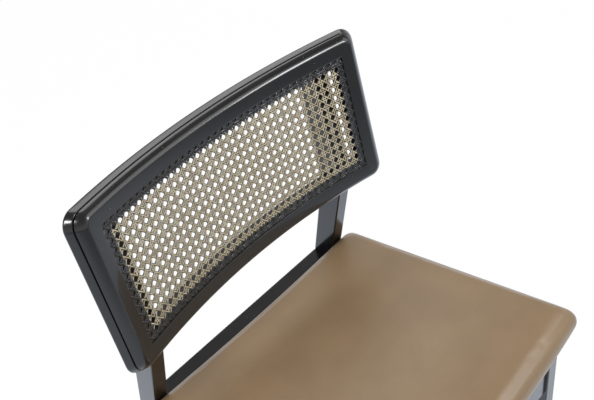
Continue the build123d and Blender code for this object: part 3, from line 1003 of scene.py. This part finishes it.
@dataclass(frozen=True)
class SeatPad:
    """The leather pad: foam and board in one form, swollen by pressure under its leather."""

    voxel: float = 5 * MM
    leather: float = 1.4 * MM
    pressure: float = 4.0
    quality: int = 5
    frames: int = 20
    most_move: float = 2.4 * MM
    seat_bottom: float = 410.8 * MM
    held_height: float = 9 * MM
    smoothing: float = 0.5
    ripple: float = 0.35 * MM
    ripple_length: float = 55 * MM
    clearance: float = 2.0 * MM
    fill: float = 0.9

    def stuffing(self) -> BMesh:
        """Joins foam and board, as the CAD has them.

        Returns:
            Both in one mesh.
        """
        mesh = bmesh.new()
        for node in ("seat_foam", "seat_board"):
            mesh.from_mesh(frame["nodes"][node].data)
        bmesh.ops.remove_doubles(mesh, verts=mesh.verts, dist=MERGE)
        return mesh

    def core(self) -> Object:
        """Makes one closed even mesh round foam and board.

        Returns:
            An object that holds it until the leather is made.
        """
        mesh = self.stuffing()
        data = bpy.data.meshes.new("leather_seat_cover")
        mesh.to_mesh(data)
        mesh.free()
        pad = bpy.data.objects.new("leather_seat_cover", data)
        bpy.context.scene.collection.objects.link(pad)
        remesh = pad.modifiers.new("even_mesh", "REMESH")
        remesh.mode = "VOXEL"
        remesh.voxel_size = self.voxel
        self.apply(pad)
        return pad

    def apply(self, pad: Object) -> None:
        """Replaces the pad's mesh by what its modifiers make of it, and drops them.

        Args:
            pad: The pad's object.
        """
        graph = bpy.context.evaluated_depsgraph_get()
        result = bpy.data.meshes.new_from_object(pad.evaluated_get(graph), depsgraph=graph)
        pad.modifiers.clear()
        pad.data = result

    def swell(self, pad: Object) -> None:
        """Presses the leather outwards by a cloth simulation, no further than most_move.

        Args:
            pad: The pad's object, whose mesh is moved.
        """
        start = [(vertex.co.copy(), vertex.normal.copy()) for vertex in pad.data.vertices]
        cloth = pad.modifiers.new("leather_pull", "CLOTH")
        cloth.settings.use_pressure = True
        cloth.settings.uniform_pressure_force = self.pressure
        cloth.settings.effector_weights.gravity = 0.0
        cloth.settings.quality = self.quality
        scene = bpy.context.scene
        for moment in range(1, self.frames + 1):
            scene.frame_set(moment)
        self.apply(pad)
        scene.frame_set(1)
        moves = [vertex.co - first for vertex, (first, _) in zip(pad.data.vertices, start)]
        drift = sum(moves, Vector()) / len(moves)
        for vertex, (first, normal), move in zip(pad.data.vertices, start, moves):
            held = unit((first.z - self.seat_bottom) / self.held_height)
            vertex.co = first + normal * held * min(self.most_move, max(0.0, (move - drift).dot(normal)))

    def skin(self, pad: Object) -> BMesh:
        """Lays the leather over the pad, with faint ripples and clear of foam and board.

        Args:
            pad: The pad's object.

        Returns:
            The leather's mesh.
        """
        mesh = bmesh.new()
        mesh.from_mesh(pad.data)
        bmesh.ops.smooth_vert(mesh, verts=mesh.verts, factor=self.smoothing, use_axis_x=True,
                              use_axis_y=True, use_axis_z=True)
        mesh.normal_update()
        moves = []
        for vertex in mesh.verts:
            ripple = noise.noise(vertex.co / self.ripple_length) * self.ripple
            moves.append(vertex.normal * (self.leather + ripple))
        stuffing = self.stuffing()
        tree = BVHTree.FromBMesh(stuffing)
        stuffing.free()
        for vertex, move in zip(mesh.verts, moves):
            vertex.co += move
            near, outward, _, _ = tree.find_nearest(vertex.co)
            vertex.co += vertex.normal * max(0.0, self.clearance - (vertex.co - near).dot(outward))
            vertex.co.z = max(vertex.co.z, self.seat_bottom)
        return mesh

    def build(self, material: Material) -> Object:
        """Makes the cover in place of its CAD node.

        Args:
            material: The leather.

        Returns:
            The cover's piece.
        """
        pad = self.core()
        self.swell(pad)
        mesh = self.skin(pad)
        bpy.data.objects.remove(pad)
        piece = finish_piece("leather_seat_cover", mesh, material, sharp=60.0)
        smooth = piece.modifiers.new("smooth_leather", "SUBSURF")
        smooth.levels = smooth.render_levels = 1
        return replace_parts(piece, "leather_cover")


@dataclass(frozen=True)
class DustCover:
    """The black cloth under the seat board, held round its edge and sagging a little between."""

    top: float = 410.7 * MM
    sag: float = 4 * MM
    held_band: float = 26 * MM
    slack_bands: float = 3.0
    strips: tuple[int, int] = (40, 30)
    crease_depth: float = 0.25 * MM
    crease_length: float = 40 * MM
    least_upward: float = 0.9
    flat_angle: float = radians(2)

    def top_face(self) -> BMesh:
        """Takes the top face of the CAD's cloth.

        Returns:
            The face as a flat mesh.
        """
        mesh = bmesh.new()
        mesh.from_mesh(frame["nodes"]["dust_cover"].data)
        bmesh.ops.remove_doubles(mesh, verts=mesh.verts, dist=MERGE)
        mesh.normal_update()
        others = [face for face in mesh.faces if face.normal.z < self.least_upward]
        bmesh.ops.delete(mesh, geom=others, context="FACES")
        bmesh.ops.dissolve_limit(mesh, angle_limit=self.flat_angle, verts=mesh.verts, edges=mesh.edges)
        return mesh

    def cut(self, mesh: BMesh, axis: int, low: float, high: float) -> None:
        """Cuts the cloth into even strips across one axis, so that it can sag.

        Args:
            mesh: The cloth.
            axis: The axis across the strips.
            low: Where the cloth starts along it.
            high: Where the cloth ends.
        """
        count = self.strips[axis]
        normal = Vector((0.0, 0.0, 0.0))
        normal[axis] = 1.0
        for step in range(1, count):
            place = Vector((0.0, 0.0, 0.0))
            place[axis] = low + (high - low) * step / count
            geometry = [*mesh.verts, *mesh.edges, *mesh.faces]
            bmesh.ops.bisect_plane(mesh, geom=geometry, plane_co=place, plane_no=normal)

    def build(self, material: Material) -> Object:
        """Makes the cloth in place of its CAD node.

        Args:
            material: The cloth's material.

        Returns:
            The cloth's piece.
        """
        mesh = self.top_face()
        area = sum(face.calc_area() for face in mesh.faces)
        xs = [vertex.co.x for vertex in mesh.verts]
        ys = [vertex.co.y for vertex in mesh.verts]
        flat = (max(xs) - min(xs), max(ys) - min(ys))
        middle = (min(ys) + max(ys)) / 2
        self.cut(mesh, 0, min(xs), max(xs))
        self.cut(mesh, 1, min(ys), max(ys))
        bmesh.ops.triangulate(mesh, faces=mesh.faces)
        for vertex in mesh.verts:
            inward = min(1 - abs(vertex.co.x) / (flat[0] / 2), 1 - abs(vertex.co.y - middle) / (flat[1] / 2))
            free = unit((inward * flat[1] / 2 / self.held_band - 1.0) / self.slack_bands)
            drop = self.sag * sin(pi / 2 * free)
            crease = self.crease_depth * noise.noise(vertex.co / self.crease_length)
            vertex.co.z = self.top - drop + crease * free
        piece = finish_piece("dust_cover_cloth", mesh, material, sharp=60.0)
        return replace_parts(piece, "dust_cover")


# The stage


@dataclass(frozen=True)
class Lamp:
    """Soft rectangular lamp."""

    name: str
    at: Triple
    target: Triple
    size: tuple[float, float]
    power: float

    def build(self) -> None:
        """Adds the lamp to the stage."""
        data = bpy.data.lights.new(self.name, "AREA")
        data.shape = "RECTANGLE"
        data.size, data.size_y = self.size
        data.energy = self.power
        lamp = bpy.data.objects.new(self.name, data)
        lamp.location = self.at
        way = Vector(self.target) - Vector(self.at)
        lamp.rotation_euler = way.to_track_quat("-Z", "Y").to_euler()
        bpy.context.scene.collection.objects.link(lamp)


BACK_AIM: Triple = (0.1, 0.0, 0.65)
SEAT_AIM: Triple = (-0.1, 0.05, 0.46)


@dataclass(frozen=True)
class Studio:
    """Camera, lamps, floor and surroundings."""

    eye: Triple = (-0.6199, -0.6159, 1.4251)
    turn: Triple = (51.943, 6.504, -49.495)
    lens: float = 51.8
    sensor: float = 36.0
    nearest: float = 0.05
    floor_half: float = 6.0
    floor_cells: int = 8
    floor_grey: RGB = (0.85, 0.85, 0.85)
    floor_white: float = 0.97
    white: RGB = (1.0, 1.0, 1.0)
    mirrored_hue: RGB = (0.8, 0.86, 0.95)
    far_floor: float = 0.4
    far_floor_y: float = -2.6
    near_floor_y: float = -0.6
    open_light: float = 0.74
    low_light: float = 0.8
    high_light: float = 0.3
    high_share: float = 0.7
    lamps: tuple[Lamp, ...] = (
        Lamp("top_lamp", (0.87, 0.72, 2.0), (0.87, 0.721, 0.0), (1.7, 0.5), 6.5),
        Lamp("side_lamp", (1.25, -1.05, 1.85), BACK_AIM, (1.2, 1.2), 6.5),
        Lamp("low_lamp", (0.71, -1.15, 1.5), BACK_AIM, (0.24, 0.6), 6.0),
        Lamp("small_lamp", (-1.15, -0.33, 2.12), BACK_AIM, (0.35, 0.35), 8.0),
        Lamp("near_lamp", (-1.0, 0.0, 1.6), SEAT_AIM, (0.4, 0.4), 3.5),
    )

    def camera(self) -> None:
        """Camera at the photograph's viewing angle."""
        data = bpy.data.cameras.new("camera")
        data.lens = self.lens
        data.sensor_width = self.sensor
        data.clip_start = self.nearest
        camera = bpy.data.objects.new("camera", data)
        camera.location = self.eye
        camera.rotation_euler = Euler([radians(angle) for angle in self.turn], "XYZ")
        bpy.context.scene.collection.objects.link(camera)
        bpy.context.scene.camera = camera

    def floor_material(self) -> Material:
        """Makes a pale floor that cameras and mirrors see as white.

        Returns:
            The floor's material.
        """
        material = bpy.data.materials.new("pale_floor")
        material.use_nodes = True
        material.node_tree.nodes.clear()
        graph = Graph(material.node_tree)
        pale = graph.add("BsdfDiffuse", color=self.floor_grey)
        ways = graph.add("LightPath")
        hue = graph.blend(ways.outputs["Is Glossy Ray"], self.white, self.mirrored_hue)
        white = graph.add("Emission", color=hue)
        place = graph.add("SeparateXYZ", vector=graph.place())
        ahead = graph.ramp(place.outputs[1], self.far_floor_y, self.near_floor_y, self.far_floor, 1.0)
        glossy = graph.math("MULTIPLY", ways.outputs["Is Glossy Ray"], ahead)
        graph.feed(graph.math("MAXIMUM", ways.outputs["Is Camera Ray"], glossy), white.inputs[1])
        seen = graph.math("MAXIMUM", ways.outputs["Is Camera Ray"], ways.outputs["Is Glossy Ray"])
        share = graph.math("MULTIPLY", seen, self.floor_white)
        mix = graph.add("MixShader", input_0=share, input_1=pale.outputs[0], input_2=white.outputs[0])
        graph.add("OutputMaterial", surface=mix.outputs[0])
        return material

    def floor(self) -> None:
        """Floor that keeps the chair's shadow."""
        mesh = bmesh.new()
        bmesh.ops.create_grid(mesh, x_segments=self.floor_cells, y_segments=self.floor_cells,
                              size=self.floor_half)
        data = bpy.data.meshes.new("floor")
        mesh.to_mesh(data)
        mesh.free()
        data.materials.append(self.floor_material())
        floor = bpy.data.objects.new("floor", data)
        bpy.context.scene.collection.objects.link(floor)

    def world(self) -> None:
        """White surroundings, darker overhead where the lacquer mirrors them."""
        world = bpy.data.worlds.new("studio")
        bpy.context.scene.world = world
        world.use_nodes = True
        back = world.node_tree.nodes["Background"]
        graph = Graph(world.node_tree)
        graph.feed(self.white, back.inputs[0])
        way = graph.add("SeparateXYZ", vector=graph.place(Coordinates.GENERATED))
        mirrored = graph.ramp(way.outputs[2], 0.0, self.high_share, self.low_light, self.high_light)
        ways = graph.add("LightPath")
        glossy = graph.add("Mix", data_type="FLOAT", input_0=ways.outputs["Is Glossy Ray"],
                           input_2=self.open_light, input_3=mirrored)
        graph.feed(graph.math("MAXIMUM", ways.outputs["Is Camera Ray"], glossy.outputs[0]), back.inputs[1])

    def build(self) -> None:
        """Sets the stage."""
        self.camera()
        self.floor()
        self.world()
        for lamp in self.lamps:
            lamp.build()
        bpy.context.scene.view_settings.view_transform = "Standard"


# The chair


FOAM = MatteStuff("foam", srgb(236, 226, 190), srgb(222, 208, 166), 300.0, 0.85, 0.8 * MM)
DUST_CLOTH = MatteStuff("dust_cloth", srgb(28, 28, 28), srgb(46, 46, 46), 900.0, 0.8, 0.2 * MM)
NYLON = MatteStuff("nylon", srgb(30, 30, 31), srgb(38, 38, 40), 500.0, 0.45, 0.1 * MM)
PLYWOOD = PlainWood("plywood", srgb(206, 172, 124), srgb(176, 138, 92), 40.0)
BEECH = PlainWood("raw_beech", srgb(214, 176, 132), srgb(184, 142, 98), 70.0)


class Chair:
    """Builds the chair's pieces in order and dresses the CAD nodes that stay."""

    def __init__(self) -> None:
        """Makes the material of each of the record's slots."""
        effects = Effects()
        finishes = {
            "black_lacquer": Lacquer(), "cane": Rattan(), "leather": Hide(), "foam": FOAM, "plywood": PLYWOOD,
            "dust_cloth": DUST_CLOTH, "raw_wood": BEECH, "zinc_steel": PlatedSteel(), "nylon": NYLON,
        }
        self.materials = {slot: finish.build(effects) for slot, finish in finishes.items()}

    def dress(self) -> None:
        """Puts each CAD node's own finish on it."""
        for row in frame["record"]["subparts"]:
            mesh = frame["nodes"][row["node"]].data
            mesh.materials.clear()
            mesh.materials.append(self.materials[row["material_slot"]])

    def build(self) -> None:
        """Makes the whole chair."""
        self.dress()
        shape = BackShape()
        sides = ("top_rail", "bottom_rail", "stile_left", "stile_right")
        lacquer = self.materials["black_lacquer"]
        FrontLayer(shape, "back_front_layer").build(lacquer, [f"back_front_{side}" for side in sides])
        RearLayer(shape, "back_rear_layer").build(lacquer, [f"back_rear_{side}" for side in sides])
        web = CaneWeb(shape)
        for family in web.families():
            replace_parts(web.build(family, self.materials["cane"]), "cane_panel")
        SeatPad().build(self.materials["leather"])
        DustCover().build(self.materials["dust_cloth"])


def main() -> None:
    """Builds the chair and its stage."""
    logging.basicConfig(level=logging.INFO, format="%(name)s: %(message)s")
    Chair().build()
    Studio().build()


if __name__ == "__main__":
    main()
